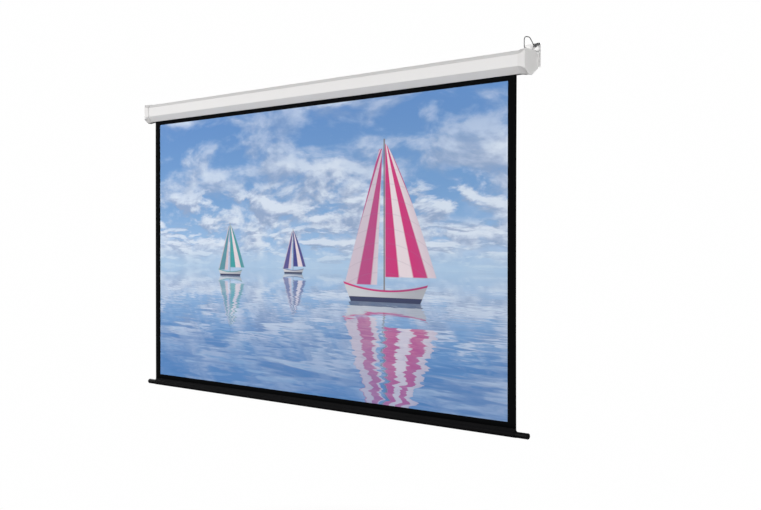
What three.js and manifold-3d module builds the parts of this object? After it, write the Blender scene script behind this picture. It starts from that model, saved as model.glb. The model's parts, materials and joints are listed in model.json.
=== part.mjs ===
// A pull-down projector screen, hung on two wall plates. Millimetres.
// +X runs along the case, +Y into the wall, +Z up. The origin is on the wall, midway between the
// plates, level with the middle of the case's front face. The screen is drawn all the way down.
import * as THREE from "three";
import { mergeVertices } from "three/addons/utils/BufferGeometryUtils.js";
import Module from "manifold-3d";

// Fits
const seatGap = 0.3; // between pieces that rest on each other
const runGap = 0.15; // between a shaft and its bore
const overrun = 2; // how far a cutter passes through what it cuts
const weld = 0.0001; // points nearer than this are one

// Cloth
const pictureWidth = 2214;
const pictureHeight = 1245;
const sideBorder = 40;
const topBorder = 19; // black strip between the case and the picture
const bottomBorder = 30.5; // black strip between the picture and the bar
const fabricThickness = 0.5;
const sleeveRise = 21; // from the bar's middle to the sleeve's upper edge
const sleeveFork = 15.5; // from the bar's middle to where the sleeve's two sides part
const sleeveSeam = 1.2; // thickness of the two sides sewn together

// Case, folded from sheet, with a slot along its bottom
const caseDepth = 74.7;
const caseFace = 43; // height of the upright front face
const caseTopCut = { deep: 13, high: 16 };
const caseFrontCut = { deep: 20.7, high: 25.5 };
const caseRearCut = { deep: 31, high: 27 };
const caseWall = 1.2;
const caseFold = 2.4; // radius of a fold, at mid wall
const slotFold = 1.2; // radius of the folds at the slot, at mid wall
const slotFlat = 2.4; // level strip in front of the slot
const slotWidth = 12.6;
const slotLip = 6;
const slotToFabric = 2.4; // from the slot's front edge back to the cloth
const caseEndGap = 59; // from the cloth's side edge out to the end of a cap

// End caps
const capLength = 34;
const capWall = 4.4;
const capShroud = 1.7; // wall that laps over the case
const capFlareFront = 3;
const capFlareBelow = 5.5;
const capFlareEase = 2.6; // how late along the cap its walls turn outwards
const capFrontCut = { deep: 22, high: 20 };
const capRearCut = { deep: 34.7, high: 24 };
const capRearTopCut = { deep: 13, high: 13 };
const capFrontTopCut = { deep: 3.5, high: 4.5 };
const capEdge = 3; // rounding of the end face's edge
const capBossRadius = 5;
const capBossHeight = 3.4;
const capScrewInset = 24; // from the cap's end to the screw on its top

// Wall plates
const plateThickness = 2;
const plateWidth = 74;
const plateBeyondCap = 9.5;
const plateBottom = 22; // below the origin
const rightPlateTop = 66;
const leftPlateTop = 36;
const plateCorner = 4;
const plateHoleWidth = 12;
const plateHoleHeight = 6;
const plateHoleHigh = 29;
const plateHoleLow = 14; // below the origin
const plateHoleSpacing = 46;
const hookWidth = 11;
const hookLevel = 8; // height of a hook's level run
const hookLip = 8;
const hookRoot = 4.2;
const hookBend = 1.5; // radius at mid wall
const hookSpacing = 18;
const hookInset = 40; // from the cap's end to midway between the hooks
const hookWindow = 13;

// Lock bail, its lugs on the right cap and its catch on the right plate
const bailWire = 1.8; // radius
const bailInset = 5; // from the cap's end to the bail's plane
const bailSetback = 3.2; // from the cap's front to the front leg
const bailSpan = 56.3;
const bailHeight = 40.4;
const bailTopShare = 0.56; // of the span, where the top run turns down
const bailKneeShare = 0.334; // of the height, where the slope meets the rear leg
const bailFrontBend = 14;
const bailTopBend = 18;
const bailKneeBend = 8;
const bailFootBend = 2.6;
const bailTail = 2; // of wire that shows past a lug
const lugWidth = 6;
const lugLength = 7;
const lugWall = 1.8; // over the wire
const catchReach = 4.1; // in front of the rear leg
const catchBase = 6; // from the bail's pivot up to the catch
const catchSide = 3.4; // wall beside the wire
const catchGrip = 1; // how far the prongs reach past the wire's middle
const catchShares = [
  [0, 0],
  [0.45, 0.05],
  [1, 0.62],
  [1, 1],
  [0.3, 0.72],
  [0, 0.33],
];
const padHeight = 7.5;
const padThickness = 2.6;
const padMargin = 2; // to the plate's side edge
const rivetInset = 3.6; // from the pad's end to the rivet
const rivetRadius = 1.6;
const rivetHead = 3;
const rivetDome = 1.5;

// Roller
const rollerRadius = 19;
const rollerWall = 1.3;
const rollerOverhang = 9; // past the cloth, each side
const rollerLift = 4.75; // above the case's mid height
const spareTurns = 1.05; // thickness of the cloth that stays on the roller
const splineWidth = 3.6; // of the groove that holds the cloth's edge
const splineDepth = 2.6;
const plugFlange = 3;
const plugLength = 26;
const bushWall = 2;
const bushFlange = 1.5;

// Bearings and spindle
const pinRadius = 4;
const pinHead = 1.8;
const pinHeadRadius = 6.5;
const bearingThickness = 2.4;
const bearingWidth = 27;
const bearingMargin = 7; // beyond the screws
const bearingCorner = 6;
const bearingScrewSpacing = 40;
const spindleFlat = 3; // half the width across its flats
const spindleReach = 470; // into the roller
const spindleTail = 2; // past a piece that it carries
const anchorRadius = 14;
const anchorThickness = 9;

// Return spring
const springWire = 1.3; // radius
const springRadius = 11.2;
const springCurls = 48;
const springSides = 5;
const springSteps = 8;
const springHubLength = 10;

// Stop: a fixed wheel with two notches, and two pawls that turn with the roller
const wheelRadius = 9.5;
const wheelWidth = 8;
const wheelHub = 6.6;
const wheelSetback = 17; // from the drive plug's flange
const notchDepth = 3;
const pawlPivot = 15; // from the roller's axis
const pawlArm = 11.5;
const pawlNose = 1.6;
const pawlHead = 3.3;
const pawlClear = 0.9; // between a lifted nose and the wheel
const pawlPin = 1.5; // radius
const pawlPinHead = 1.2;
const pawlPinRim = 2.7;
const pawlPinDepth = 9;

// Weight bar
const barRadius = 11;
const barWall = 1.2;
const barBeyondCloth = 55; // past the cloth's side edge, each side
const barPlugFlange = 4;
const barPlugLip = 0.3;
const barPlugSpigot = 20;
const barPlugEdge = 1.6;

// Screws
const screwRadius = 1.9;
const screwHead = 3.6;
const screwDome = 2.2;
const screwLength = 6;
const domeShares = [
  [1, 0],
  [1, 0.4],
  [0.85, 0.8],
  [0.45, 1],
];

// Facets
const coarseSides = 16;
const fineSides = 32;
const foldSteps = 4;
const bendSteps = 6;
const flareSteps = 8;

// Places worked out from the sizes
const caseBack = -(plateThickness + seatGap);
const caseFront = caseBack - caseDepth;
const caseTop = caseFace / 2 + caseTopCut.high;
const caseBottom = -caseFace / 2 - caseFrontCut.high;
const slotFront = caseFront + caseFrontCut.deep + slotFlat;
const slotRear = slotFront + slotWidth;
const fabricY = slotFront + slotToFabric;
const fabricHalf = pictureWidth / 2 + sideBorder;
const capEnd = fabricHalf + caseEndGap;
const capInside = capEnd - capWall;
const caseEnd = capInside - seatGap;
const capTop = caseTop + seatGap + capShroud;
const rollerEnd = fabricHalf + rollerOverhang;
const rollerBore = rollerRadius - rollerWall;
const woundInside = rollerRadius + runGap;
const woundRadius = woundInside + spareTurns;
const rollerY = fabricY + fabricThickness / 2 + seatGap + woundRadius;
const rollerZ = (caseTop + caseBottom) / 2 + rollerLift;
const plugFace = rollerEnd + seatGap + plugFlange;
const plugInner = rollerEnd - plugLength;
const bearingOut = capInside - capBossHeight - seatGap;
const bearingIn = bearingOut - bearingThickness;
const spindleInner = rollerEnd - spindleReach;
const springHub = springRadius - 2 * springWire - seatGap;
const wheelIn = plugFace + wheelSetback;
const wheelOut = wheelIn + wheelWidth;
const sleeveInside = barRadius + seatGap;
const sleeveOutside = sleeveInside + fabricThickness;
const barZ = caseBottom - topBorder - pictureHeight - bottomBorder - sleeveOutside;
const barEnd = fabricHalf + barBeyondCloth;
const barTubeEnd = barEnd - barPlugFlange - seatGap;
const plateEnd = capEnd + plateBeyondCap;
const hookPlaces = [-1, 1].map((place) => capEnd - hookInset + (place * hookSpacing) / 2);
const bailX = capEnd - bailInset;
const bailFront = caseFront - capFlareFront + bailSetback;
const bailRear = bailFront + bailSpan;
const bailPivot = capTop + seatGap + bailWire;
const padEnd = plateEnd - padMargin;
const padFront = caseBack - padThickness;
const rivetPlace = [padEnd - rivetInset, rightPlateTop - padHeight / 2];

// Outlines are lists of [across, up] points.
const range = (count) => Array.from({ length: count }, (_, i) => i);

const arc = (radius, from, to, steps, [across, up] = [0, 0]) =>
  range(steps + 1).map((i) => {
    const angle = from + ((to - from) * i) / steps;
    return [across + radius * Math.cos(angle), up + radius * Math.sin(angle)];
  });

const circle = (radius, sides, middle) => arc(radius, 0, 2 * Math.PI, sides, middle).slice(1);

function roundedBox(width, height, radius, [across, up] = [0, 0]) {
  const corners = [
    [1, 1],
    [-1, 1],
    [-1, -1],
    [1, -1],
  ];
  return corners.flatMap(([right, high], corner) => {
    const from = (corner * Math.PI) / 2;
    const middle = [across + right * (width / 2 - radius), up + high * (height / 2 - radius)];
    return arc(radius, from, from + Math.PI / 2, foldSteps, middle);
  });
}

// A circle with a square notch in its top, whose floor is at a given distance from the middle.
function notchedCircle(radius, halfWidth, floor) {
  const angle = Math.asin(halfWidth / radius);
  const round = arc(radius, Math.PI / 2 + angle, (5 * Math.PI) / 2 - angle, fineSides);
  return [...round, [halfWidth, floor], [-halfWidth, floor]];
}

// A circle with a flat on either side.
function flattedCircle(radius, half) {
  const angle = Math.acos(half / radius);
  const upper = arc(radius, angle, Math.PI - angle, foldSteps);
  const lower = arc(radius, Math.PI + angle, 2 * Math.PI - angle, foldSteps);
  return [...upper, ...lower];
}

// An open run of points with its corners rounded.
function rounded(run, radiusAt, steps = foldSteps) {
  return run.flatMap((point, i) => {
    if (i === 0 || i === run.length - 1) return [point];
    const corner = new THREE.Vector2(...point);
    const a = new THREE.Vector2(...run[i - 1]).sub(corner).normalize();
    const b = new THREE.Vector2(...run[i + 1]).sub(corner).normalize();
    const half = Math.acos(a.dot(b)) / 2;
    const radius = radiusAt(i);
    const inward = a.clone().add(b).normalize();
    const middle = inward.multiplyScalar(radius / Math.sin(half)).add(corner);
    const start = a.multiplyScalar(radius / Math.tan(half)).add(corner).sub(middle);
    const end = b.multiplyScalar(radius / Math.tan(half)).add(corner).sub(middle);
    const turn = Math.atan2(start.cross(end), start.dot(end));
    return arc(radius, start.angle(), start.angle() + turn, steps, middle.toArray());
  });
}

// The outline of a sheet of even thickness whose middle follows an open run of points.
function sheet(run, thickness) {
  const normal = (i) => {
    const [from, to] = [new THREE.Vector2(...run[i]), new THREE.Vector2(...run[i + 1])];
    const along = to.sub(from).normalize();
    return new THREE.Vector2(-along.y, along.x);
  };
  const last = run.length - 1;
  const moved = run.map((point, i) => {
    const before = normal(Math.max(i - 1, 0));
    const after = normal(Math.min(i, last - 1));
    const middle = before.clone().add(after).normalize();
    return middle.multiplyScalar(thickness / 2 / middle.dot(before));
  });
  const side = (sign) => run.map(([y, z], i) => [y + sign * moved[i].x, z + sign * moved[i].y]);
  return [...side(1), ...side(-1).reverse()];
}

// A box in Y and Z with its four corners cut off, anticlockwise seen from +X.
function cutBox({ front, back, bottom, top }, cuts) {
  return [
    [front + cuts.front.deep, bottom],
    [back - cuts.rear.deep, bottom],
    [back, bottom + cuts.rear.high],
    [back, top - cuts.rearTop.high],
    [back - cuts.rearTop.deep, top],
    [front + cuts.frontTop.deep, top],
    [front, top - cuts.frontTop.high],
    [front, bottom + cuts.front.high],
  ];
}

// The same with every face moved outwards, the back by an amount of its own.
function grown(box, cuts, out, backOut = 0) {
  const movedCut = ({ deep, high }, faceOut) => {
    const share = 1 + faceOut / deep + out / high - (out * Math.hypot(deep, high)) / (deep * high);
    return { deep: deep * share, high: high * share };
  };
  const movedBox = {
    front: box.front - out,
    back: box.back + backOut,
    bottom: box.bottom - out,
    top: box.top + out,
  };
  return cutBox(movedBox, {
    front: movedCut(cuts.front, out),
    rear: movedCut(cuts.rear, backOut),
    rearTop: movedCut(cuts.rearTop, backOut),
    frontTop: movedCut(cuts.frontTop, out),
  });
}

// Solids
const wasm = await Module();
wasm.setup();

// One closed skin of shared points, with its faces pointing out.
function closed(geometry) {
  const plain = geometry.clone();
  plain.deleteAttribute("normal");
  plain.deleteAttribute("uv");
  const skin = mergeVertices(plain, weld);
  const index = [];
  let volume = 0;
  const [a, b, c] = [new THREE.Vector3(), new THREE.Vector3(), new THREE.Vector3()];
  for (let i = 0; i < skin.index.count; i += 3) {
    const [p, q, r] = [0, 1, 2].map((corner) => skin.index.getX(i + corner));
    if (p === q || q === r || r === p) continue;
    index.push(p, q, r);
    a.fromBufferAttribute(skin.attributes.position, p);
    b.fromBufferAttribute(skin.attributes.position, q);
    c.fromBufferAttribute(skin.attributes.position, r);
    volume += a.dot(b.cross(c));
  }
  skin.setIndex(volume < 0 ? index.reverse() : index);
  return skin;
}

function solid(geometry) {
  const skin = closed(geometry);
  const vertProperties = new Float32Array(skin.attributes.position.array);
  const triVerts = new Uint32Array(skin.index.array);
  return new wasm.Manifold(new wasm.Mesh({ numProp: 3, vertProperties, triVerts }));
}

function geometryOf(made) {
  const { vertProperties, triVerts } = made.getMesh();
  const geometry = new THREE.BufferGeometry();
  geometry.setAttribute("position", new THREE.BufferAttribute(vertProperties, 3));
  geometry.setIndex(new THREE.BufferAttribute(triVerts, 1));
  return geometry;
}

const join = (first, ...others) =>
  geometryOf(others.reduce((whole, other) => whole.add(solid(other)), solid(first)));

const cut = (first, ...others) =>
  geometryOf(others.reduce((whole, other) => whole.subtract(solid(other)), solid(first)));

function shapeOf(points, holes) {
  const vectors = (outline) =>
    outline
      .filter(([x, y], i) => {
        const [nextX, nextY] = outline[(i + 1) % outline.length];
        return Math.hypot(nextX - x, nextY - y) > weld;
      })
      .map(([x, y]) => new THREE.Vector2(x, y));
  const shape = new THREE.Shape(vectors(points));
  shape.holes = holes.map((hole) => new THREE.Path(vectors(hole)));
  return shape;
}

function extruded(outline, depth, holes, axes) {
  const geometry = new THREE.ExtrudeGeometry(shapeOf(outline, holes), {
    depth,
    bevelEnabled: false,
  });
  return closed(geometry.applyMatrix4(axes));
}

// An outline in Y and Z, carried along X.
function alongX(outline, from, to, holes = []) {
  const axes = new THREE.Matrix4().set(0, 0, 1, from, 1, 0, 0, 0, 0, 1, 0, 0, 0, 0, 0, 1);
  return extruded(outline, to - from, holes, axes);
}

// An outline in X and Z, carried along Y.
function alongY(outline, from, to, holes = []) {
  const axes = new THREE.Matrix4().set(1, 0, 0, 0, 0, 0, -1, to, 0, 1, 0, 0, 0, 0, 0, 1);
  return extruded(outline, to - from, holes, axes);
}

// A profile of [distance along X, radius] points, turned about the X axis.
function turned(profile, sides = fineSides) {
  const points = profile.map(([x, radius]) => new THREE.Vector2(radius, x));
  return closed(new THREE.LatheGeometry(points, sides).rotateZ(-Math.PI / 2));
}

const block = (x0, x1, y0, y1, z0, z1) =>
  closed(
    new THREE.BoxGeometry(x1 - x0, y1 - y0, z1 - z0).translate(
      (x0 + x1) / 2,
      (y0 + y1) / 2,
      (z0 + z1) / 2,
    ),
  );

// Rings of points in order, skinned into one body with a fan over each end.
function skinned(rings) {
  const count = rings[0].length;
  const last = (rings.length - 1) * count;
  const index = [];
  for (const start of range(rings.length - 1).map((r) => r * count)) {
    for (const i of range(count)) {
      const [a, b] = [start + i, start + ((i + 1) % count)];
      index.push(a, b, b + count, a, b + count, a + count);
    }
  }
  for (const i of range(count - 2)) {
    index.push(0, i + 2, i + 1, last, last + i + 1, last + i + 2);
  }
  const geometry = new THREE.BufferGeometry();
  geometry.setAttribute("position", new THREE.Float32BufferAttribute(rings.flat(2), 3));
  geometry.setIndex(index);
  return closed(geometry);
}

// A round wire through points whose run stays nearly square to the X axis.
function wire(points, radius, sides) {
  const axis = new THREE.Vector3(1, 0, 0);
  const rings = points.map((point, i) => {
    const before = points[Math.max(i - 1, 0)];
    const after = points[Math.min(i + 1, points.length - 1)];
    const along = new THREE.Vector3().subVectors(after, before).normalize();
    const side = new THREE.Vector3().crossVectors(along, axis).normalize();
    const up = new THREE.Vector3().crossVectors(side, along);
    return circle(radius, sides).map(([a, b]) =>
      point.clone().addScaledVector(side, a).addScaledVector(up, b).toArray(),
    );
  });
  return skinned(rings);
}

// A screw or rivet that points down, with the underside of its domed head at the origin.
function headed(radius, length, headRadius, dome) {
  const head = domeShares.map(([out, up]) => [headRadius * out, dome * up]);
  const profile = [[0, -length], [radius, -length], [radius, 0], ...head, [0, dome]];
  const points = profile.map(([x, y]) => new THREE.Vector2(x, y));
  return closed(new THREE.LatheGeometry(points, coarseSides).rotateX(Math.PI / 2));
}

const mirrored = (geometry) => closed(geometry.clone().scale(-1, 1, 1));

// Materials
const material = (color, roughness, metalness) => () =>
  new THREE.MeshStandardMaterial({ color, roughness, metalness });
const whiteSteel = material(0xecebea, 0.45, 0.1);
const whitePlastic = material(0xe6e5e3, 0.5, 0);
const plateSteel = material(0xdcdcda, 0.5, 0.1);
const zincSteel = material(0xb4b6b8, 0.38, 0.85);
const wireSteel = material(0x9c9d9f, 0.35, 0.85);
const darkPlastic = material(0x2b2b2d, 0.6, 0);
const blackEnamel = material(0x101011, 0.4, 0.3);
const blackCloth = material(0x0d0d0f, 0.9, 0);
const screenCloth = material(0xc9dbea, 0.85, 0);
const nylon = material(0xd9d6cc, 0.55, 0);
const springSteel = material(0x6f7276, 0.35, 0.9);

// Case and caps
const caseBox = { front: caseFront, back: caseBack, bottom: caseBottom, top: caseTop };
const caseCuts = {
  front: caseFrontCut,
  rear: caseRearCut,
  rearTop: caseTopCut,
  frontTop: caseTopCut,
};
const capBox = {
  front: caseFront - capFlareFront,
  back: caseBack,
  bottom: caseBottom - capFlareBelow,
  top: capTop,
};
const capCuts = {
  front: capFrontCut,
  rear: capRearCut,
  rearTop: capRearTopCut,
  frontTop: capFrontTopCut,
};
const capScrewPlace = [capEnd - capScrewInset, (caseFront + caseBack) / 2];
const bearingScrewRises = [-bearingScrewSpacing / 2, bearingScrewSpacing / 2];
const screwHole = screwRadius + runGap;

function capScrewBore(side) {
  const [x, y] = capScrewPlace;
  const length = 2 * (capShroud + caseWall + overrun);
  const bore = new THREE.CylinderGeometry(screwHole, screwHole, length, coarseSides);
  return bore.rotateX(Math.PI / 2).translate(side * x, y, caseTop);
}

function hookSlot(x) {
  const half = hookWidth / 2 + seatGap;
  const top = hookLevel + plateThickness / 2 + seatGap;
  const bottom = top - hookLip - plateThickness - seatGap;
  return block(x - half, x + half, caseBack - caseWall - overrun, caseBack + overrun, bottom, top);
}

function caseShell() {
  const corners = grown(caseBox, caseCuts, -caseWall / 2, -caseWall / 2);
  const [frontLip, rearLip] = [slotFront + caseWall / 2, slotRear - caseWall / 2];
  const floor = caseBottom + caseWall / 2;
  const run = [
    [rearLip, floor + slotLip],
    [rearLip, floor],
    ...corners.slice(1),
    corners[0],
    [frontLip, floor],
    [frontLip, floor + slotLip],
  ];
  const atSlot = (i) => i === 1 || i >= run.length - 3;
  const outline = sheet(rounded(run, (i) => (atSlot(i) ? slotFold : caseFold)), caseWall);
  const slots = [-1, 1].flatMap((side) => hookPlaces.map((x) => hookSlot(side * x)));
  return cut(alongX(outline, -caseEnd, caseEnd), ...slots, capScrewBore(-1), capScrewBore(1));
}

// The outline that lies part of the way from one outline to another.
const between = (from, to, share) =>
  from.map(([y, z], i) => [y + share * (to[i][0] - y), z + share * (to[i][1] - z)]);

// A cap's outer skin, from its lap over the case out to its rim and round the rim's edge.
function capSkin() {
  const lap = grown(caseBox, caseCuts, seatGap + capShroud);
  const rim = cutBox(capBox, capCuts);
  const flare = range(flareSteps).map((step) => {
    const along = step / flareSteps;
    const x = capEnd - capLength + along * (capLength - capEdge);
    return [x, between(lap, rim, along ** capFlareEase)];
  });
  const edge = range(foldSteps + 1).map((step) => {
    const angle = (step / foldSteps) * (Math.PI / 2);
    const x = capEnd - capEdge * (1 - Math.sin(angle));
    return [x, grown(capBox, capCuts, -capEdge * (1 - Math.cos(angle)))];
  });
  const sections = [...flare, ...edge];
  return skinned(sections.map(([x, outline]) => outline.map(([y, z]) => [x, y, z])));
}

function capBody() {
  const pocket = grown(caseBox, caseCuts, seatGap, overrun);
  const hollow = alongX(pocket, capEnd - capLength - overrun, capInside);
  const rises = bearingScrewRises.map((rise) => [rollerY, rollerZ + rise]);
  const bossFace = capInside - capBossHeight;
  const bosses = rises.map((place) =>
    alongX(circle(capBossRadius, coarseSides, place), bossFace, capInside + capWall / 2),
  );
  const bores = rises.map((place) =>
    alongX(circle(screwHole, coarseSides, place), bossFace - overrun, capInside + seatGap),
  );
  return cut(join(cut(capSkin(), hollow), ...bosses), ...bores, capScrewBore(1));
}

function bailLug(edge, inward) {
  const [near, far] = [edge, edge + inward * lugWidth].sort((a, b) => a - b);
  const shoulder = bailPivot + bailWire / 2;
  const outline = [
    [bailX - lugLength / 2, capTop - capShroud],
    [bailX + lugLength / 2, capTop - capShroud],
    [bailX + lugLength / 2, shoulder],
    [bailX + lugLength / 4, bailPivot + bailWire + runGap + lugWall],
    [bailX - lugLength / 4, bailPivot + bailWire + runGap + lugWall],
    [bailX - lugLength / 2, shoulder],
  ];
  const eye = circle(bailWire + runGap, coarseSides, [bailX, bailPivot]);
  return alongY(outline, near, far, [eye]);
}

function rightCap() {
  const setback = bailWire + seatGap;
  return join(capBody(), bailLug(bailFront + setback, 1), bailLug(bailRear - setback, -1));
}

const leftCap = () => mirrored(capBody());

// Wall plates
function hook(x) {
  const middle = -plateThickness / 2;
  const lip = caseBack - caseWall - seatGap + middle;
  const run = [
    [middle, hookLevel - hookRoot],
    [middle, hookLevel],
    [lip, hookLevel],
    [lip, hookLevel + hookLip],
  ];
  const outline = sheet(rounded(run, () => hookBend), plateThickness);
  return alongX(outline, x - hookWidth / 2, x + hookWidth / 2);
}

function wallPlate(top, extraHoles) {
  const middle = plateEnd - plateWidth / 2;
  const height = top + plateBottom;
  const outline = roundedBox(plateWidth, height, plateCorner, [middle, top - height / 2]);
  const holes = [-1, 1].flatMap((place) =>
    [plateHoleHigh, -plateHoleLow].map((z) => {
      const x = middle + (place * plateHoleSpacing) / 2;
      return roundedBox(plateHoleWidth, plateHoleHeight, plateHoleHeight / 2, [x, z]);
    }),
  );
  const windowFoot = hookLevel + plateThickness / 2;
  const windows = hookPlaces.map((x) =>
    roundedBox(hookWidth, hookWindow, seatGap, [x, windowFoot + hookWindow / 2]),
  );
  const plate = alongY(outline, -plateThickness, 0, [...holes, ...windows, ...extraHoles]);
  return join(plate, ...hookPlaces.map(hook));
}

const leftPlate = () => mirrored(wallPlate(leftPlateTop, []));
const rightPlate = () =>
  wallPlate(rightPlateTop, [circle(rivetRadius + runGap, coarseSides, rivetPlace)]);

// Lock bail and its catch
const bailCorners = [
  { at: [bailFront, bailPivot], bend: bailFootBend },
  { at: [bailFront, bailPivot + bailHeight], bend: bailFrontBend },
  { at: [bailFront + bailSpan * bailTopShare, bailPivot + bailHeight], bend: bailTopBend },
  { at: [bailRear, bailPivot + bailHeight * bailKneeShare], bend: bailKneeBend },
  { at: [bailRear, bailPivot], bend: bailFootBend },
];
const bailFoot = bailWire + seatGap + lugWidth + bailTail;
const bailRun = rounded(
  [
    [bailFront + bailFoot, bailPivot],
    ...bailCorners.map(({ at }) => at),
    [bailRear - bailFoot, bailPivot],
  ],
  (i) => bailCorners[i - 1].bend,
  bendSteps,
);

const lockBail = () =>
  wire(
    bailRun.map(([y, z]) => new THREE.Vector3(bailX, y, z)),
    bailWire,
    coarseSides / 2,
  );

function bailCatch() {
  const [front, base] = [bailRear - catchReach, bailPivot + catchBase];
  const [depth, height] = [caseBack - front, rightPlateTop - base];
  const outline = catchShares.map(([back, up]) => [front + depth * back, base + height * up]);
  const inner = bailX - catchGrip;
  const channelEnd = bailX + bailWire + seatGap;
  const wedge = alongX(outline, inner, channelEnd + catchSide);
  const pad = block(inner, padEnd, padFront, caseBack, rightPlateTop - padHeight, rightPlateTop);
  const channel = alongX(sheet(bailRun, 2 * (bailWire + seatGap)), inner - overrun, channelEnd);
  const bore = circle(rivetRadius + runGap, coarseSides, rivetPlace);
  const rivetBore = alongY(bore, padFront - overrun, caseBack + seatGap);
  return cut(join(wedge, pad), channel, rivetBore);
}

// Roller, about its own axis
const woundFabric = () => {
  const inside = circle(woundInside, fineSides);
  return alongX(circle(woundRadius, fineSides), -fabricHalf, fabricHalf, [inside]);
};

function rollerTube() {
  const outside = notchedCircle(rollerRadius, splineWidth / 2, rollerRadius - splineDepth);
  const half = splineWidth / 2 + rollerWall;
  const inside = notchedCircle(rollerBore, half, rollerRadius - splineDepth - rollerWall);
  return alongX(outside, -rollerEnd, rollerEnd, [inside]);
}

function fabricSpline() {
  const [width, height] = [splineWidth - 2 * seatGap, splineDepth - seatGap];
  const outline = roundedBox(width, height, height / 2, [0, rollerRadius - height / 2]);
  return alongX(outline, -fabricHalf, fabricHalf);
}

// The part of a plug that goes inside the roller, and the flange against the roller's end.
function plugBody() {
  const half = splineWidth / 2 + rollerWall + seatGap;
  const floor = rollerRadius - splineDepth - rollerWall - seatGap;
  const spigot = alongX(notchedCircle(rollerBore - seatGap, half, floor), plugInner, plugFace);
  const flangeFoot = plugFace - plugFlange;
  return join(spigot, alongX(circle(rollerRadius, fineSides), flangeFoot, plugFace));
}

const bore = (radius, from, to) => alongX(circle(radius, fineSides), from - overrun, to + overrun);

const leftPlug = () =>
  mirrored(cut(plugBody(), bore(pinRadius + bushWall + seatGap, plugInner, plugFace)));

function idlerBush() {
  const [inside, outside] = [pinRadius + runGap, pinRadius + bushWall];
  const [rim, face] = [outside + bushWall, plugFace + seatGap];
  const profile = [
    [plugInner, inside],
    [plugInner, outside],
    [face, outside],
    [face, rim],
    [face + bushFlange, rim],
    [face + bushFlange, inside],
    [plugInner, inside],
  ];
  return mirrored(turned(profile));
}

function idlerPin() {
  const shoulder = bearingIn - seatGap;
  const head = bearingOut + seatGap;
  const profile = [
    [plugInner, 0],
    [plugInner, pinRadius],
    [shoulder - pinHead, pinRadius],
    [shoulder - pinHead, pinHeadRadius],
    [shoulder, pinHeadRadius],
    [shoulder, pinRadius],
    [head, pinRadius],
    [head, pinHeadRadius],
    [head + pinHead, pinHeadRadius],
    [head + pinHead, 0],
  ];
  return mirrored(turned(profile));
}

// The two pawls are half a turn apart about the roller's axis.
const pawlTurns = { a: 0, b: Math.PI };
const aroundAxis = (geometry, turn) => closed(geometry.clone().rotateX(turn));

function drivePlug() {
  const hub = alongX(circle(springHub, fineSides), plugInner - springHubLength, plugFace);
  const [bossEnd, pinFoot] = [wheelIn - seatGap, wheelIn - seatGap - pawlPinDepth];
  const place = [0, pawlPivot];
  const turns = Object.values(pawlTurns);
  const boss = alongX(circle(pawlHead, coarseSides, place), plugFace - plugFlange, bossEnd);
  const hole = alongX(circle(pawlPin + runGap, coarseSides, place), pinFoot, bossEnd + overrun);
  return cut(
    join(plugBody(), hub, ...turns.map((turn) => aroundAxis(boss, turn))),
    bore(pinRadius + runGap, plugInner - springHubLength, plugFace),
    ...turns.map((turn) => aroundAxis(hole, turn)),
  );
}

function pawlPinAt(turn) {
  const [foot, face] = [wheelIn - pawlPinDepth, wheelOut + seatGap];
  const profile = [
    [foot, 0],
    [foot, pawlPin],
    [face, pawlPin],
    [face, pawlPinRim],
    [face + pawlPinHead, pawlPinRim],
    [face + pawlPinHead, 0],
  ];
  const pin = turned(profile, coarseSides).translate(0, 0, pawlPivot);
  return aroundAxis(pin, turn);
}

// Direction of a pawl's arm from its pivot, for a nose at a given distance from the roller's axis.
function armDirection(noseDistance) {
  const cosine =
    (pawlPivot ** 2 + pawlArm ** 2 - noseDistance ** 2) / (2 * pawlPivot * pawlArm);
  return -Math.PI / 2 - Math.acos(cosine);
}

const liftedArm = armDirection(wheelRadius + pawlClear + pawlNose);
const engagedArm = armDirection(wheelRadius - notchDepth + seatGap + pawlNose);

function pawlOutline(direction, extra = 0) {
  const pivot = [0, pawlPivot];
  const [across, up] = [Math.cos(direction), Math.sin(direction)];
  const nose = [pawlArm * across, pawlPivot + pawlArm * up];
  const spread = Math.acos((pawlHead - pawlNose) / pawlArm);
  const round = [direction + spread, direction - spread + 2 * Math.PI];
  const head = arc(pawlHead + extra, ...round, coarseSides, pivot);
  const tip = arc(pawlNose + extra, direction - spread, direction + spread, foldSteps, nose);
  return [...head, ...tip];
}

function pawl(turn) {
  const hole = circle(pawlPin + runGap, coarseSides, [0, pawlPivot]);
  return aroundAxis(alongX(pawlOutline(liftedArm), wheelIn, wheelOut, [hole]), turn);
}

// Each notch is the space that a pawl sweeps as it drops.
function ratchetWheel() {
  const inside = pinRadius + seatGap;
  const hubEnd = bearingIn - seatGap;
  const profile = [
    [wheelIn, inside],
    [wheelIn, wheelRadius],
    [wheelOut, wheelRadius],
    [wheelOut, wheelHub],
    [hubEnd, wheelHub],
    [hubEnd, inside],
    [wheelIn, inside],
  ];
  const sweep = range(foldSteps + 1).map((step) => {
    const direction = engagedArm + ((liftedArm - engagedArm) * step) / foldSteps;
    return alongX(pawlOutline(direction, seatGap), wheelIn - overrun, wheelOut + seatGap / 2);
  });
  const turns = Object.values(pawlTurns);
  return cut(turned(profile), ...turns.flatMap((t) => sweep.map((space) => aroundAxis(space, t))));
}

function springSpindle() {
  const [inner, outer] = [spindleInner - spindleTail, bearingOut + spindleTail];
  const rod = turned([
    [inner, 0],
    [inner, pinRadius],
    [outer, pinRadius],
    [outer, 0],
  ]);
  const flats = [-1, 1].map((side) => {
    const [near, far] = [side * spindleFlat, side * (pinRadius + overrun)];
    const [low, high] = [Math.min(near, far), Math.max(near, far)];
    const [foot, reach] = [bearingIn - seatGap, pinRadius + overrun];
    return block(foot, outer + overrun, low, high, -reach, reach);
  });
  return cut(rod, ...flats);
}

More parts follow.
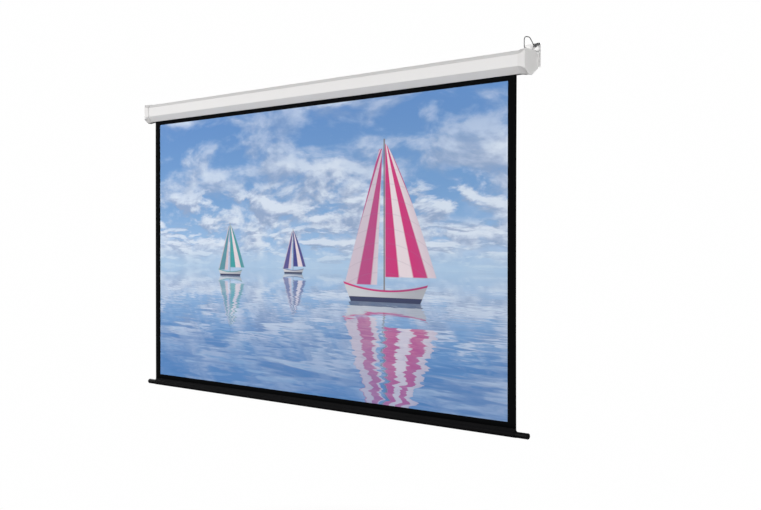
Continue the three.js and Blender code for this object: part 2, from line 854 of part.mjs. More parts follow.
function springAnchor() {
  const face = spindleInner + anchorThickness;
  const hubEnd = face + springHubLength;
  const inside = pinRadius + seatGap;
  return turned([
    [spindleInner, inside],
    [spindleInner, anchorRadius],
    [face, anchorRadius],
    [face, springHub],
    [hubEnd, springHub],
    [hubEnd, inside],
    [spindleInner, inside],
  ]);
}

function torsionSpring() {
  const start = spindleInner + anchorThickness + seatGap + springWire;
  const end = plugInner - seatGap - springWire;
  const at = (curl, radius) => {
    const angle = 2 * Math.PI * curl;
    const x = start + ((end - start) * curl) / springCurls;
    return new THREE.Vector3(x, radius * Math.cos(angle), radius * Math.sin(angle));
  };
  const curls = range(springCurls * springSteps + 1).map((i) => at(i / springSteps, springRadius));
  const leg = springHub + seatGap;
  let nearest = Infinity;
  curls.forEach((point, i) => {
    const others = curls.slice(i + springSteps / 2, i + 2 * springSteps);
    others.forEach((other) => {
      nearest = Math.min(nearest, point.distanceTo(other) - 2 * springWire);
    });
  });
  console.log(`torsion_spring: least gap to itself ${nearest.toFixed(2)} mm`);
  return wire([at(0, leg), ...curls, at(springCurls, leg)], springWire, springSides);
}

function bearingPlate(hole) {
  const height = bearingScrewSpacing + 2 * bearingMargin;
  const holes = bearingScrewRises.map((rise) => circle(screwHole, coarseSides, [0, rise]));
  const outline = roundedBox(bearingWidth, height, bearingCorner);
  return alongX(outline, bearingIn, bearingOut, [hole, ...holes]);
}

const leftBearing = () => mirrored(bearingPlate(circle(pinRadius + runGap, fineSides)));
const rightBearing = () =>
  bearingPlate(flattedCircle(pinRadius + seatGap, spindleFlat + seatGap));

// Screen and weight bar, about the bar's own axis
const screenFabric = () => {
  const half = fabricThickness / 2;
  const foot = sleeveRise + seatGap;
  return block(-fabricHalf, fabricHalf, -half, half, foot, rollerZ - barZ);
};

function sleeveSide(radius, [across, up]) {
  const toPoint = Math.atan2(up, across);
  const toTangent = toPoint - Math.acos(radius / Math.hypot(across, up));
  return arc(radius, Math.PI - toTangent, 2 * Math.PI + toTangent, fineSides);
}

function hemSleeve() {
  const half = sleeveSeam / 2;
  const fork = [half, sleeveFork];
  const crotch = [0, sleeveFork - sleeveSeam / 2];
  const outside = [
    ...sleeveSide(sleeveOutside, fork),
    fork,
    [half, sleeveRise],
    [-half, sleeveRise],
    [-half, sleeveFork],
  ];
  const inside = [...sleeveSide(sleeveInside, crotch), crotch];
  return alongX(outside, -fabricHalf, fabricHalf, [inside]);
}

const barTube = () => {
  const inside = circle(barRadius - barWall, fineSides);
  return alongX(circle(barRadius, fineSides), -barTubeEnd, barTubeEnd, [inside]);
};

function barPlug() {
  const [rim, spigot] = [barRadius + barPlugLip, barRadius - barWall - seatGap];
  const middle = [barEnd - barPlugEdge, rim - barPlugEdge];
  return turned([
    [barTubeEnd - barPlugSpigot, 0],
    [barTubeEnd - barPlugSpigot, spigot],
    [barEnd - barPlugFlange, spigot],
    [barEnd - barPlugFlange, rim],
    ...arc(barPlugEdge, Math.PI / 2, 0, foldSteps, middle),
    [barEnd, 0],
  ]);
}

// The whole screen
const screen = new THREE.Group();
const roller = new THREE.Group();
const bar = new THREE.Group();
roller.position.set(0, rollerY, rollerZ);
bar.position.set(0, fabricY, barZ);
screen.add(roller, bar);

function add(parent, name, finish, geometry) {
  const mesh = new THREE.Mesh(geometry, finish());
  mesh.name = name;
  parent.add(mesh);
  return mesh;
}

add(screen, "case_shell", whiteSteel, caseShell());
add(screen, "left_end_cap", whitePlastic, leftCap());
add(screen, "right_end_cap", whitePlastic, rightCap());
add(screen, "left_wall_plate", plateSteel, leftPlate());
add(screen, "right_wall_plate", plateSteel, rightPlate());
add(screen, "lock_bail", wireSteel, lockBail());
add(screen, "bail_catch", darkPlastic, bailCatch());

const rivetLength = seatGap + padThickness + plateThickness;
const rivet = headed(rivetRadius, rivetLength, rivetHead, rivetDome);
const catchRivet = add(screen, "catch_rivet", zincSteel, rivet);
catchRivet.position.set(rivetPlace[0], padFront - seatGap, rivetPlace[1]);
catchRivet.rotation.x = Math.PI / 2;

const screw = headed(screwRadius, screwLength, screwHead, screwDome);
for (const [side, name] of [[-1, "left"], [1, "right"]]) {
  const capScrew = add(screen, `${name}_cap_screw`, zincSteel, screw);
  capScrew.position.set(side * capScrewPlace[0], capScrewPlace[1], capTop + seatGap);
  for (const [rise, level] of [[bearingScrewRises[1], "upper"], [bearingScrewRises[0], "lower"]]) {
    const bearingScrew = add(roller, `${name}_bearing_screw_${level}`, zincSteel, screw);
    bearingScrew.position.set(side * (bearingIn - seatGap), 0, rise);
    bearingScrew.rotation.y = (-side * Math.PI) / 2;
  }
}

add(roller, "left_bearing_plate", zincSteel, leftBearing());
add(roller, "right_bearing_plate", zincSteel, rightBearing());
add(roller, "roller_tube", zincSteel, rollerTube());
add(roller, "fabric_spline", nylon, fabricSpline());
add(roller, "wound_fabric", blackCloth, woundFabric());
add(roller, "left_roller_plug", nylon, leftPlug());
add(roller, "idler_bush", darkPlastic, idlerBush());
add(roller, "idler_pin", zincSteel, idlerPin());
add(roller, "roller_drive_plug", nylon, drivePlug());
add(roller, "spring_spindle", zincSteel, springSpindle());
add(roller, "spring_anchor", nylon, springAnchor());
add(roller, "torsion_spring", springSteel, torsionSpring());
add(roller, "ratchet_wheel", zincSteel, ratchetWheel());
for (const [letter, turn] of Object.entries(pawlTurns)) {
  add(roller, `pawl_pin_${letter}`, zincSteel, pawlPinAt(turn));
  add(roller, `pawl_${letter}`, zincSteel, pawl(turn));
}

add(bar, "screen_fabric", screenCloth, screenFabric());
add(bar, "hem_sleeve", blackCloth, hemSleeve());
add(bar, "bar_tube", blackEnamel, barTube());
add(bar, "left_bar_plug", blackEnamel, mirrored(barPlug()));
add(bar, "right_bar_plug", blackEnamel, barPlug());

export default screen;
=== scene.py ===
import json
import math

import bpy
import numpy as np
from mathutils import Matrix, Vector


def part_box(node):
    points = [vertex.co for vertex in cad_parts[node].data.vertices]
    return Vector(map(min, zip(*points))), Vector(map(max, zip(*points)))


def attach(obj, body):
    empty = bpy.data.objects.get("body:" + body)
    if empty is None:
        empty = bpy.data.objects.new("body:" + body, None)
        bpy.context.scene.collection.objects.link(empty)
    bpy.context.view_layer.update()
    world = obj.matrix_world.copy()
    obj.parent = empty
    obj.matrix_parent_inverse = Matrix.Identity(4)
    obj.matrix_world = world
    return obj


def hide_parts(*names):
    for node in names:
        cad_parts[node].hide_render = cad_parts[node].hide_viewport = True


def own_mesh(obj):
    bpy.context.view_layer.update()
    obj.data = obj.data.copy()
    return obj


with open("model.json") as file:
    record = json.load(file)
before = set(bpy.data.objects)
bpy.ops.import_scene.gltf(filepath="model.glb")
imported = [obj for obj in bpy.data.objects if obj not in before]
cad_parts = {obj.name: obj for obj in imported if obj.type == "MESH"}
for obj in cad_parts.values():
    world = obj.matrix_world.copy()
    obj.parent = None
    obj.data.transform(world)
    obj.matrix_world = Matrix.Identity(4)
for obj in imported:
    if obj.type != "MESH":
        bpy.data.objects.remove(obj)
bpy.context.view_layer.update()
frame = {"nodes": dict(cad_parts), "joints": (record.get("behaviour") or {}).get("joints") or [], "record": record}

mm = 0.001


# Wraps one output socket of a shader. Arithmetic on it adds Math nodes, and node() adds any other node.
class Flow:
    def __init__(self, tree, socket=None):
        self.tree, self.socket = tree, socket

    def node(self, kind, settings=None, inputs=None, out=0):
        made = self.tree.nodes.new(kind)
        for name, value in (settings or {}).items():
            if name == "stops":
                ramp = made.color_ramp
                while len(ramp.elements) < len(value):
                    ramp.elements.new(1.0)
                for element, (place, colour) in zip(ramp.elements, value):
                    element.position = place
                    element.color = (*colour, 1.0)
            else:
                setattr(made, name, value)
        for name, value in (inputs or {}).items():
            if isinstance(value, Flow):
                self.tree.links.new(value.socket, made.inputs[name])
            else:
                made.inputs[name].default_value = value
        return Flow(self.tree, made.outputs[out])

    def math(self, operation, *values):
        return self.node("ShaderNodeMath", {"operation": operation}, dict(enumerate(values)))

    def __add__(self, other):
        return self.math("ADD", self, other)

    def __sub__(self, other):
        return self.math("SUBTRACT", self, other)

    def __rsub__(self, other):
        return self.math("SUBTRACT", other, self)

    def __mul__(self, other):
        return self.math("MULTIPLY", self, other)

    def __truediv__(self, other):
        return self.math("DIVIDE", self, other)

    def __rtruediv__(self, other):
        return self.math("DIVIDE", other, self)

    def __pow__(self, other):
        return self.math("POWER", self, other)

    def __abs__(self):
        return self.math("ABSOLUTE", self)

    def __neg__(self):
        return self.math("MULTIPLY", self, -1.0)

    __radd__ = __add__


# 0 below low, 1 above high, with a smooth step between.
def ramped(value, low, high):
    inputs = {"Value": value, "From Min": low, "From Max": high}
    return value.node("ShaderNodeMapRange", {"interpolation_type": "SMOOTHSTEP"}, inputs)


# The first colour where the share is 0, the second where it is 1. A Mix node has its colour sockets
# after those for numbers and vectors: 6 and 7 going in, 2 coming out.
def mixed(share, first, second):
    colours = [c if isinstance(c, Flow) else (*c, 1.0) for c in (first, second)]
    source = next(v for v in (share, first, second) if isinstance(v, Flow))
    inputs = {0: share, 6: colours[0], 7: colours[1]}
    return source.node("ShaderNodeMix", {"data_type": "RGBA"}, inputs, out=2)


def vectorOf(x, y, z):
    source = next(v for v in (x, y, z) if isinstance(v, Flow))
    return source.node("ShaderNodeCombineXYZ", None, {"X": x, "Y": y, "Z": z})


def partsOf(vector):
    split = vector.node("ShaderNodeSeparateXYZ", None, {"Vector": vector})
    return [Flow(vector.tree, socket) for socket in split.socket.node.outputs]


# Fractal noise from about 0 to 1. The size is the width of its largest lumps, in metres.
def noise(place, size, detail=2.0, rough=0.5, twist=0.0):
    inputs = {"Vector": place, "Scale": 1 / size, "Detail": detail, "Roughness": rough}
    return place.node("ShaderNodeTexNoise", None, {**inputs, "Distortion": twist})


def stretched(place, x, y, z):
    settings = {"operation": "MULTIPLY"}
    return place.node("ShaderNodeVectorMath", settings, {0: place, 1: (x, y, z)})


def dimmed(colour, share):
    return tuple(part * share for part in colour)


def newMaterial(name):
    made = bpy.data.materials.new(name)
    made.use_nodes = True
    tree = made.node_tree
    tree.nodes.clear()
    output = tree.nodes.new("ShaderNodeOutputMaterial")
    return made, Flow(tree), output


# A Principled surface: constants go on its sockets, and Flow values are linked to them. The height
# goes into a bump of the given depth.
def surfaced(flow, output, height, depth, **values):
    names = {
        "colour": "Base Color",
        "rough": "Roughness",
        "metal": "Metallic",
        "specular": "Specular IOR Level",
    }
    inputs = {names[name]: value for name, value in values.items()}
    bump = {"Height": height, "Distance": depth, "Strength": 1.0}
    inputs["Normal"] = flow.node("ShaderNodeBump", None, bump)
    shader = flow.node("ShaderNodeBsdfPrincipled", None, inputs)
    flow.tree.links.new(shader.socket, output.inputs["Surface"])


def objectPlace(flow):
    return flow.node("ShaderNodeTexCoord", out="Object")


print("stage: camera")
cameraSettings = {
    "place": (3.7673, -3.3690, -0.6639),
    "lens": 54.79,
    "sensor": 36.0,
    "turn": 45.0,  # degrees from straight at the screen towards its left end
    "tilt": -0.503,
    "roll": 0.017,
    "clips": (0.05, 200.0),
}


# The view's three directions come from the turn about Z, then the tilt, then the roll.
def makeCamera(place, lens, sensor, turn, tilt, roll, clips):
    turn, tilt, roll = (math.radians(value) for value in (turn, tilt, roll))
    level = Vector((-math.sin(turn), math.cos(turn), 0))
    right = Vector((math.cos(turn), math.sin(turn), 0))
    up = Vector((0, 0, 1))
    ahead = level * math.cos(tilt) + up * math.sin(tilt)
    high = up * math.cos(tilt) - level * math.sin(tilt)
    across = right * math.cos(roll) + high * math.sin(roll)
    high = high * math.cos(roll) - right * math.sin(roll)
    data = bpy.data.cameras.new("camera")
    data.lens = lens
    data.sensor_width = sensor
    data.clip_start, data.clip_end = clips
    camera = bpy.data.objects.new("camera", data)
    turned = Matrix((across, high, -ahead)).transposed().to_4x4()
    camera.matrix_world = Matrix.Translation(place) @ turned
    bpy.context.scene.collection.objects.link(camera)
    bpy.context.scene.camera = camera


makeCamera(**cameraSettings)


print("stage: studio")
studioSettings = {
    "floorLevel": -2.25,  # height of the floor under the case
    "floorRadius": 40.0,
    "floorFade": (0.9, 2.1),  # distances from the middle between which the floor turns white
    "floorColour": (0.84, 0.84, 0.85),
    "domeRadius": 80.0,
    "domeSides": 48,
    "white": 0.997,
    # the world's light: 0 is straight below, 0.5 is level and 1 is straight above
    "sky": [(0.25, (0.010, 0.010, 0.010)), (0.5, (0.050, 0.050, 0.052)), (0.8, (0.010, 0.010, 0.011))],
    "softboxes": [
        # place, where it points, width, height, power, colour
        ((-2.6, -6.0, 0.35), (0.0, 0.0, -0.5), 3.0, 1.4, 248.0, (1.0, 0.985, 0.985)),
        ((-4.8, -4.3, 0.35), (-0.6, 0.0, -0.5), 2.4, 1.4, 92.0, (1.0, 0.985, 0.985)),
        ((5.8, -3.5, 0.35), (1.2, 0.0, 0.0), 2.4, 2.4, 235.0, (1.0, 0.99, 0.985)),
        ((6.5, 1.0, 0.3), (1.2, 0.0, 0.0), 3.0, 3.0, 50.0, (1.0, 1.0, 1.0)),
        ((-6.5, 1.0, 0.4), (-1.2, 0.0, -0.4), 3.0, 3.0, 150.0, (1.0, 1.0, 1.0)),
        ((1.5, 6.5, 1.0), (0.0, 0.0, -0.4), 5.0, 3.0, 190.0, (1.0, 1.0, 1.0)),
        ((0.0, 3.2, 3.4), (0.0, 0.0, 0.0), 3.0, 2.0, 150.0, (1.0, 1.0, 1.0)),
    ],
}


def linked(name, data):
    made = bpy.data.objects.new(name, data)
    bpy.context.scene.collection.objects.link(made)
    return made


# A level disc: a middle point, and rings round it, each ring's radius a share of the whole.
def discMesh(name, level, radius, sides=96, ringShares=(0.02, 0.08, 0.25, 1.0)):
    turn = np.linspace(0, 2 * np.pi, sides, endpoint=False)
    ring, turn = np.meshgrid(np.array(ringShares) * radius, turn, indexing="ij")
    points = np.stack([ring * np.cos(turn), ring * np.sin(turn), np.full_like(turn, level)], 2)
    points = np.concatenate([[[0.0, 0.0, level]], points.reshape(-1, 3)])
    index = 1 + np.arange(ring.size).reshape(ring.shape)
    after = np.roll(index, -1, axis=1)
    quads = np.stack([index[:-1], index[1:], after[1:], after[:-1]], 2).reshape(-1, 4)
    fan = np.stack([np.zeros(sides, dtype=int), index[0], after[0]], 1)
    mesh = bpy.data.meshes.new(name)
    mesh.from_pydata(points.tolist(), [], fan.tolist() + quads.tolist())
    return mesh


# The floor is pale and takes shadows near the screen, and goes over into the white of the dome.
def makeFloor(s, white):
    floor = linked("studioFloor", discMesh("studioFloor", s["floorLevel"], s["floorRadius"]))
    material, flow, output = newMaterial("paleFloor")
    place = stretched(objectPlace(flow), 1, 1, 0)
    radius = place.node("ShaderNodeVectorMath", {"operation": "LENGTH"}, {0: place}, out="Value")
    near = flow.node("ShaderNodeBsdfDiffuse", None, {"Color": (*s["floorColour"], 1.0)})
    glow = flow.node("ShaderNodeEmission", None, white)
    inputs = {0: ramped(radius, *s["floorFade"]), 1: near, 2: glow}
    both = flow.node("ShaderNodeMixShader", None, inputs)
    flow.tree.links.new(both.socket, output.inputs["Surface"])
    floor.data.materials.append(material)
    floor.visible_diffuse = floor.visible_glossy = False


def makeDome(s, white):
    sides = s["domeSides"]
    bpy.ops.mesh.primitive_uv_sphere_add(
        radius=s["domeRadius"], segments=sides, ring_count=sides // 2
    )
    dome = bpy.context.object
    dome.name = "studioDome"
    material, flow, output = newMaterial("whiteDome")
    glow = flow.node("ShaderNodeEmission", None, white)
    flow.tree.links.new(glow.socket, output.inputs["Surface"])
    dome.data.materials.append(material)
    dome.visible_diffuse = dome.visible_glossy = dome.visible_shadow = False


# The world's light changes with height only.
def makeWorld(s):
    world = bpy.data.worlds.new("studioWorld")
    world.use_nodes = True
    flow = Flow(world.node_tree)
    height = partsOf(flow.node("ShaderNodeTexCoord", out="Generated"))[2] * 0.5 + 0.5
    tone = flow.node("ShaderNodeValToRGB", {"stops": s["sky"]}, {"Fac": height})
    background = world.node_tree.nodes["Background"]
    world.node_tree.links.new(tone.socket, background.inputs["Color"])
    bpy.context.scene.world = world


def makeLamps(s):
    for i, (place, target, width, height, power, colour) in enumerate(s["softboxes"]):
        light = bpy.data.lights.new(f"softbox{i}", "AREA")
        light.shape = "RECTANGLE"
        light.size, light.size_y = width, height
        light.energy, light.color = power, colour
        lamp = linked(f"softbox{i}", light)
        aim = (Vector(target) - Vector(place)).to_track_quat("-Z", "Y")
        lamp.matrix_world = Matrix.Translation(place) @ aim.to_matrix().to_4x4()
        lamp.visible_camera = False


def makeStudio(s):
    white = {"Color": (1, 1, 1, 1), "Strength": s["white"]}
    makeFloor(s, white)
    makeDome(s, white)
    makeWorld(s)
    makeLamps(s)
    bpy.context.scene.view_settings.view_transform = "Standard"


makeStudio(studioSettings)


print("stage: picture")
picture = {
    "width": 2214 * mm,
    "height": 1245 * mm,
    "topBorder": 19 * mm,  # from the case's underside
    "horizon": 545 * mm,  # above the picture's lower edge
    "horizonEdge": 2 * mm,  # over which the sky turns into the sea
    "high": (0.115, 0.275, 0.60),
    "middle": (0.185, 0.375, 0.68),
    "low": (0.36, 0.56, 0.82),
    "cloud": (0.73, 0.82, 0.94),
    "cloudShade": (0.30, 0.41, 0.62),
    "haze": (0.44, 0.62, 0.82),
    "deep": (0.06, 0.20, 0.50),
    "pink": (0.62, 0.035, 0.20),
    "sail": (0.82, 0.72, 0.77),
    "sailShade": (0.22, 0.16, 0.34),
    "sailSeam": (0.25, 0.18, 0.30),
    "navy": (0.05, 0.06, 0.27),
    "teal": (0.05, 0.36, 0.38),
    "hull": (0.62, 0.64, 0.68),
    "hullStripe": (0.04, 0.05, 0.12),
    "mast": (0.20, 0.17, 0.15),
    # each cloud's flattening, place in the noise, largest lump, threshold, and where it is full
    "streaks": (2.7, 1.3, 0.46, 0.46, 0.68),
    "banks": (1.9, 14.6, 0.40, 0.48, 0.62),
    "lumps": (2.3, 27.9, 0.26, 0.48, 0.59),
    "rows": (5.0, 40.2, 0.17, 0.48, 0.59),
    "cloudDetail": (6.0, 5.0),  # of the cloud itself, and of the copy that its light is read from
    "cloudGrain": (0.56, 0.25),  # roughness and twist
    "cloudLit": 0.10,  # of a cloud's size, how far off that copy lies
    "cloudTones": (-0.10, 0.07),  # falls of the noise towards the light where a cloud is dull and bright
    "hazeShare": 0.80,
    # each wave's closeness across and towards the viewer, place in the noise, detail and roughness
    "ripples": (1.6, 9.5, 2.2, 2.0, 0.5),
    "swell": (0.7, 3.8, 7.0, 3.0, 0.5),
    "chop": (4.5, 24.0, 12.4, 1.0, 0.5),
    "waveShares": (0.55, 0.30, 0.15),  # of the ripples, the swell and the chop
    "waveGrowth": (0.55, 0.012),  # with the depth below the horizon, and at the horizon itself
    "farthest": 50 * mm,  # keeps the waves from shrinking to nothing at the horizon
    "mirrorShake": (1.3, 1.9),  # how far a wave moves the mirrored sky, across and up
    "seaShares": (0.06, 0.50),  # of the deep colour, at the horizon and added with the depth
    "crestShare": 0.34,
    "troughShare": 0.55,
    # place from the picture's left edge, waterline above its lower edge, height, sail, stripes
    "boats": [
        (1560 * mm, 415 * mm, 660 * mm, "pink", 3.6),
        (1010 * mm, 522 * mm, 195 * mm, "navy", 2.6),
        (560 * mm, 505 * mm, 245 * mm, "teal", 2.6),
    ],
}
# A boat's lines, as shares of its height. Across starts at the boat's place, up at the waterline.
boatLines = {
    "soft": 2.2 * mm,  # half the width of an edge's blur, whatever the boat's height
    "mastMiddle": 0.027,
    "mastHalf": 0.006,
    "mastFoot": 0.06,
    "mastHead": 1.0,
    "post": 0.035,  # the mainsail's upright edge
    "foot": 0.155,
    "head": 0.97,
    "leech": 0.50,  # how far the mainsail's rear edge runs out
    "leechBend": 0.80,
    "jibFoot": 0.105,
    "jibHead": 0.94,
    "stay": 0.37,  # how far the jib's front edge runs out
    "stayGap": 0.005,
    "clew": 0.055,  # and its rear edge
    "clewGap": 0.012,
    "fanFoot": 0.035,  # above the head, where the stripes meet
    "seams": 11.0,
    "seamBend": 0.8,
    "hullHalf": 0.30,
    "hullMiddle": 0.03,
    "hullFlare": 0.55,
    "deck": 0.075,
    "sheer": 0.32,  # how fast the deck rises towards both ends
    "deckSlope": 0.03,
    "paintLine": (0.028, 0.030),  # between which the dark foot turns into the hull's colour
    "railLine": (0.014, 0.010),  # below the deck, between which the hull turns into the rail's
    "waterEdge": 1.5 * mm,  # over which a boat turns into its mirror image, whatever its height
    "shake": (0.9, 0.6),  # how far a wave moves the mirror image, across and up
    "faded": (0.30, 0.30),  # share that the mirror image loses, and more of it towards the head
}


# One layer of cloud is a fractal noise above a threshold. It is lit from the upper right: bright
# where the noise falls towards the light, dull where it rises, and duller in the thick of it.
def cloudLayer(p, over, x, h, kind, share):
    spread, seed, size, low, high = p[kind]
    fine, coarse = p["cloudDetail"]
    lit = p["cloudLit"] * size
    here = noise(vectorOf(x, h * spread, seed), size, fine, *p["cloudGrain"])
    towards = noise(vectorOf(x + lit, (h + lit) * spread, seed), size, coarse, *p["cloudGrain"])
    cover = ramped(here, low, high)
    light = ramped(here - towards - (here - low) * 0.25, *p["cloudTones"])
    tone = mixed(light, p["cloudShade"], p["cloud"])
    return mixed(cover * share, over, tone)


# Blue that pales towards the horizon, with high streaks, banks, a belt of lumps and low rows. Each
# cloud's share depends on the height as a share of the sky.
def skyColour(p, x, h):
    share = h / (p["height"] - p["horizon"])
    blue = mixed(ramped(share, 0.0, 0.5), p["low"], p["middle"])
    blue = mixed(ramped(share, 0.3, 1.1), blue, p["high"])
    streaks = 0.35 + ramped(share, 0.25, 0.6) * 0.40
    banks = 0.92 - ramped(share, 0.45, 0.95) * 0.5
    lumps = ramped(0.34 - abs(share - 0.30), 0.0, 0.22) * 0.95
    rows = ramped(0.20 - abs(share - 0.11), 0.0, 0.08) * 0.85
    sky = cloudLayer(p, blue, x + h * 0.5, h, "streaks", streaks)
    sky = cloudLayer(p, sky, x, h, "banks", banks)
    sky = cloudLayer(p, sky, x, h, "lumps", lumps)
    sky = cloudLayer(p, sky, x, h, "rows", rows)
    return mixed(ramped(-share, -0.16, 0.02) * p["hazeShare"], sky, p["haze"])


# A mainsail and a jib fill the room between lines that fan out from the head. Stripes run down from
# the head, seams cross them, and shade deepens away from a line down the mainsail's front third.
def sailsOf(p, b, u, v, step, colour, stripes):
    drop = (b["head"] - v).math("MAXIMUM", b["head"] - v, 0.0)
    leech = (drop ** b["leechBend"]) * b["leech"] + b["post"]
    main = step(u - b["post"]) * step(leech - u) * step(v - b["foot"]) * step(b["head"] - v)
    stay = drop * -b["stay"] - b["stayGap"]
    clew = drop * -b["clew"] + b["clewGap"]
    jib = step(u - stay) * step(clew - u) * step(v - b["jibFoot"]) * step(b["jibHead"] - v)
    fan = (u - b["post"]) / (drop + b["fanFoot"]) * stripes
    band = ramped(fan.math("SINE", fan * (2 * math.pi)), -0.22, 0.22)
    cloth = mixed(band, p["sail"], p[colour])
    across = abs((u - b["post"]) / (leech - b["post"] + 0.02) - 0.35)
    cloth = mixed(ramped(across, 0.15, 0.75) * 0.30, cloth, p["sailShade"])
    seam = v.math("FRACT", (v + u * u * b["seamBend"]) * b["seams"])
    cloth = mixed(ramped(abs(seam - 0.5), 0.44, 0.49) * 0.16, cloth, p["sailSeam"])
    return main.math("MAXIMUM", main, jib), cloth


# The hull lies below a deck line that rises towards both ends, and between sides that lean out.
def hullOf(p, b, u, v, step, colour):
    deck = u * u * b["sheer"] + b["deck"] - u * b["deckSlope"]
    side = b["hullHalf"] + v * b["hullFlare"] - abs(u - b["hullMiddle"])
    paint = mixed(ramped(v, *b["paintLine"]), p["hullStripe"], p["hull"])
    paint = mixed(ramped(deck - v, *b["railLine"]), paint, p[colour])
    paint = mixed(ramped(u, -0.25, 0.40) * 0.35, paint, p["hullStripe"])
    return step(deck - v) * step(side), paint


# A boat over the ground. Below its waterline it is drawn again upside down, fainter, and torn by
# the waves.
def boatOver(p, b, ground, x, y, wave, boat):
    middle, waterline, tall, colour, stripes = boat
    h = y - waterline
    below = ramped(-h, 0.0, b["waterEdge"])
    shakeAcross, shakeUp = b["shake"]
    u = (x - middle + wave * below * shakeAcross) / tall
    v = (abs(h) + below * wave * shakeUp) / tall
    soft = b["soft"] / tall

    def step(value):
        return ramped(value, -soft, soft)

    mast = step(b["mastHalf"] - abs(u - b["mastMiddle"])) * step(b["mastHead"] - v)
    mast = mast * step(v - b["mastFoot"])
    sails, cloth = sailsOf(p, b, u, v, step, colour, stripes)
    hull, paint = hullOf(p, b, u, v, step, colour)
    fadedAll, fadedHigh = b["faded"]
    strength = 1.0 - below * (fadedAll + ramped(v, 0.1, 1.0) * fadedHigh)
    over = mixed(mast * strength * 0.9, ground, p["mast"])
    over = mixed(sails * strength, over, cloth)
    return mixed(hull * strength, over, paint)


# The sea is the sky upside down, shaken by waves whose size shrinks towards the horizon, with
# deeper water in the troughs and paler light on the crests.
def pictureColour(p, b, x, y):
    up = y - p["horizon"]
    depth = abs(up)
    water = ramped(-up, 0.0, p["horizonEdge"])
    flat = 1.0 / (depth + p["farthest"])

    def waves(kind):
        across, near, seed, detail, rough = p[kind]
        return noise(vectorOf(x * flat * across, flat * near, seed), 1.0, detail, rough)

    ripples, swell, chop = waves("ripples"), waves("swell"), waves("chop")
    ofRipples, ofSwell, ofChop = p["waveShares"]
    growth, least = p["waveGrowth"]
    wave = ripples * ofRipples + swell * ofSwell + chop * ofChop - 0.5
    wave = wave * (depth * growth + least)
    shakeAcross, shakeUp = p["mirrorShake"]
    mirrorX = x + wave * water * shakeAcross
    mirrorH = depth + water * wave * shakeUp
    ground = skyColour(p, mirrorX, mirrorH.math("MAXIMUM", mirrorH, 0.0))
    nearShare, deepShare = p["seaShares"]
    sea = mixed(ramped(depth, 0.0, 0.55) * deepShare + nearShare, ground, p["deep"])
    crest = ramped(ripples * 0.6 + chop * 0.4, 0.51, 0.66) * ramped(depth, 0.01, 0.16)
    sea = mixed(crest * p["crestShare"], sea, p["haze"])
    trough = ramped(0.5 - swell * 0.45 - ripples * 0.55, -0.02, 0.10) * ramped(depth, 0.04, 0.40)
    sea = mixed(trough * p["troughShare"], sea, p["deep"])
    ground = mixed(water, ground, sea)
    for boat in p["boats"]:
        ground = boatOver(p, b, ground, x, y, wave, boat)
    return ground


print("stage: cloth")
clothSettings = {
    "thickness": 0.5 * mm,
    "stations": 116,
    "rows": 72,
    "calm": 12 * mm,  # straight cloth below the case, before the waves begin
    "billow": 0.9 * mm,  # height of the broad waves
    # each wave's share of the billow, length, phase, and drift of its phase down the cloth
    "waves": [(0.6, 0.93, 0.6, 0.0), (0.3, 0.41, 2.1, 1.3)],
    "curl": 1.1 * mm,  # how far the side edges lean forward
    "curlWidth": 26 * mm,
    "edgeBlur": 0.5 * mm,  # of the print
    "grain": 0.9 * mm,
    "unevenness": 220 * mm,
    "black": ((0.0016, 0.0019, 0.0023), (0.0030, 0.0034, 0.0038)),
    "blackPatch": 40 * mm,
    "bead": (0.90, 0.92, 0.95),  # of the coat over the print
}
backSettings = {
    "thread": 0.55 * mm,
    "patch": 60 * mm,
    "black": ((0.0024, 0.0024, 0.0028), (0.0055, 0.0055, 0.0062)),
    "dust": 3.5 * mm,
    "dustColour": (0.10, 0.10, 0.10),
}
sleeveSettings = {
    "fork": 15.5 * mm,  # from the bar's middle to where the sleeve's two sides part
    "seam": 0.35 * mm,  # from the cloth's middle to the middle of either side
    "stations": 230,
    "roundSteps": 40,
    "seamSteps": 5,
    "pucker": 0.08 * mm,
    "puckerPlace": 1.6,  # of the seam's height, from the sleeve's upper edge
    "puckerReach": 5 * mm,
    "puckers": [(1.0, 21 * mm, 0.0), (0.7, 33.7 * mm, 1.0)],  # share, length, phase
}
spareSettings = {"turns": 1.25, "pitch": 0.54 * mm, "stations": 40, "stepsPerTurn": 64}


# The cloth's front: the picture inside a black border, under a fine beaded coat. Its UV map is its
# width and its run down from the upper edge, both as shares.
def screenCloth(s, p, width, length, pictureTop):
    material, flow, output = newMaterial("screenCloth")
    flat = stretched(flow.node("ShaderNodeTexCoord", out="UV"), width, length, 0)
    across, along, _ = partsOf(flat)
    x = across - (width - p["width"]) / 2
    y = p["height"] + pictureTop - along
    soft = s["edgeBlur"]
    inside = ramped(x, 0.0, soft) * ramped(p["width"] - x, 0.0, soft)
    inside = inside * ramped(y, 0.0, soft) * ramped(p["height"] - y, 0.0, soft)
    grain = noise(flat, s["grain"], 2.0, 0.6)
    black = mixed(noise(flat, s["blackPatch"], 3.0), *s["black"])
    shown = mixed(grain * 0.05, pictureColour(p, boatLines, x, y), s["bead"])
    colour = mixed(inside, black, shown)
    rough = 0.86 - inside * 0.06 + grain * 0.06
    weave = grain + noise(flat, s["unevenness"], 2.0) * 6.0
    surfaced(flow, output, weave, 0.02 * mm, colour=colour, rough=rough, specular=0.04)
    return material


